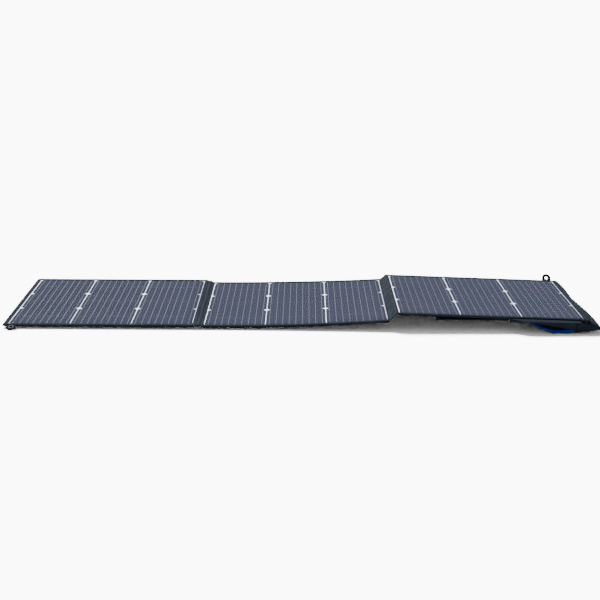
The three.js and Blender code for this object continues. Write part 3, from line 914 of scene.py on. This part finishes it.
def add_flap(pocket):
    """The pocket's flap, which hangs unevenly over the mouth."""
    board = pocket.board
    low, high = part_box("pocket_flap")
    columns = 41
    root, hem = [], []
    drops = [(0, 9), (0.23, 2.5), (0.37, 3.5), (1, 21)]
    outs = [(0, 4), (0.23, 26), (0.37, 26.5), (1, 26.5)]
    middle = board.middle.x
    for c in range(columns):
        t = c / (columns - 1)
        x = low.x + (high.x + 4 * MM - low.x) * t
        drop = np.interp(t, *zip(*drops)) * MM
        out = np.interp(t, *zip(*outs)) * MM
        root.append(board.point(x - middle, board.front - 0.2 * MM, -2.2 * MM))
        hem.append(board.point(x - middle, board.front - out, -3.2 * MM - drop))
    flap = thick_sheet("pocket_flap_cloth", hanging_cloth(root, hem)[::-1], 1.2 * MM, TEXTILE)
    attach(flap, "pocket_flap")
    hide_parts("pocket_flap")


def add_pocket_end(pocket):
    """Cloth that closes the right end of the mouth, from the board's edge and the roof to the lip."""
    board = pocket.board
    low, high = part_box("pocket_gusset")
    y, _, right, tip_x, tip_z, _, _ = pocket.section(0)
    columns = 25
    root, hem = [], []
    for c in range(columns):
        t = c / (columns - 1)
        x = low.x - 3 * MM + (tip_x - low.x + 2 * MM) * t
        past = max(0.0, x - right) / (tip_x - right)
        edge = board.point(min(x, right) - board.middle.x, board.front - 0.2 * MM, -2.2 * MM)
        top_z = edge.z + (tip_z + 1.5 * MM - edge.z) * past
        root.append(Vector((x, edge.y + (y - edge.y) * past, top_z)))
        hem.append(Vector((x, y - 3.6 * MM, min(pocket.bottom(0, x) + 1.5 * MM, top_z - 0.8 * MM))))
    end = thick_sheet("pocket_end", hanging_cloth(root, hem)[::-1], 1.0 * MM, TEXTILE)
    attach(end, "panel_3")
    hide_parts("pocket_gusset")


# ---- Tabs, leg hinges and fastening tapes ----
def add_sewn_pieces():
    corners = {"front_left": 1, "back_left": 1, "front_right": 3, "back_right": 3}
    for corner, k in corners.items():
        name = f"corner_tab_{corner}"
        soften(f"webbing_{corner}", name, WEBBING)
    for k in boards:
        soften(f"leg_hinge_cloth_{k}", f"leg_anchor_{k}", TEXTILE)
    soften("hook_tape", "pocket_hook_tape", HOOK)


# ---- CAD nodes that stay ----
def finish_nodes():
    finishes = {
        "eyelet": (METAL, 0.15 * MM),
        "junction": (PLASTIC, 0.8 * MM),
        "cable_gland": (PLASTIC, 0.3 * MM),
        "diode_board": (COPPER, 0.2 * MM),
    }
    for name, node in frame["nodes"].items():
        for start, (material, width) in finishes.items():
            if name.startswith(start):
                node.data.materials.clear()
                node.data.materials.append(material)
                bevel(node, width)


TEXTILE = woven_material("black_textile", (0.0024, 0.0032, 0.0050), (0.0036, 0.0048, 0.0076), 0.9 * MM)
# The fold cloth is the covers' cloth painted lighter, as painted light on the raised folds.
LIT_FOLD_TEXTILE = woven_material("fold_textile_painted_lit", (0.0022, 0.0031, 0.0048), (0.0056, 0.0070, 0.0096), 0.9 * MM)
WEBBING_TONES = ((0.0010, 0.0012, 0.0018), (0.0022, 0.0025, 0.0032))
WEBBING = woven_material("tab_webbing", *WEBBING_TONES, 1.6 * MM, bump=0.5)
THREAD = plain_material("thread", (0.008, 0.009, 0.011), 0.7)
LINING = lining_material()
SILICON = silicon_material()
RIBBON = ribbon_material()
SCRIBE = plain_material("scribe_line", (0.016, 0.018, 0.024), 0.5)
WHITE = white_material()
FILM = film_material()
METAL = moulded_material("dark_metal", (0.0018, 0.0018, 0.002), 0.7)
PLASTIC = moulded_material("black_plastic", (0.004, 0.004, 0.0045), 0.5)
COPPER = moulded_material("link_copper", (0.5, 0.28, 0.15), 0.4, metallic=0.9)
HOOK = hook_material("hook_tape", (0.0012, 0.0012, 0.0015), (0.005, 0.005, 0.006))
LOOP = hook_material("loop_tape", (0.003, 0.024, 0.2), (0.008, 0.06, 0.45))

add_camera()
add_world()
add_floor()
add_soft_light("overhead", (0.45, -0.95, -1), 26, 46)
add_soft_light("front", (-0.2, 1, -0.1), 30, 2.0)

boards = {k: read_board(k) for k in (1, 2, 3)}
for number, board in boards.items():
    add_cover(board, number)
    add_stitches(board, number)
    add_white_and_film(board, number)
    add_cells(board, number)
    add_ribbons(board, number)
    add_scribes(board, number)
    add_leg(number)
add_fold(1, ridge=1.2 * MM, ripple=1.4 * MM, ripples=2)
add_fold(2, ridge=4.2 * MM, ripple=1.1 * MM, ripples=2, lean=3.2)
add_pocket(boards[3])
add_sewn_pieces()
finish_nodes()
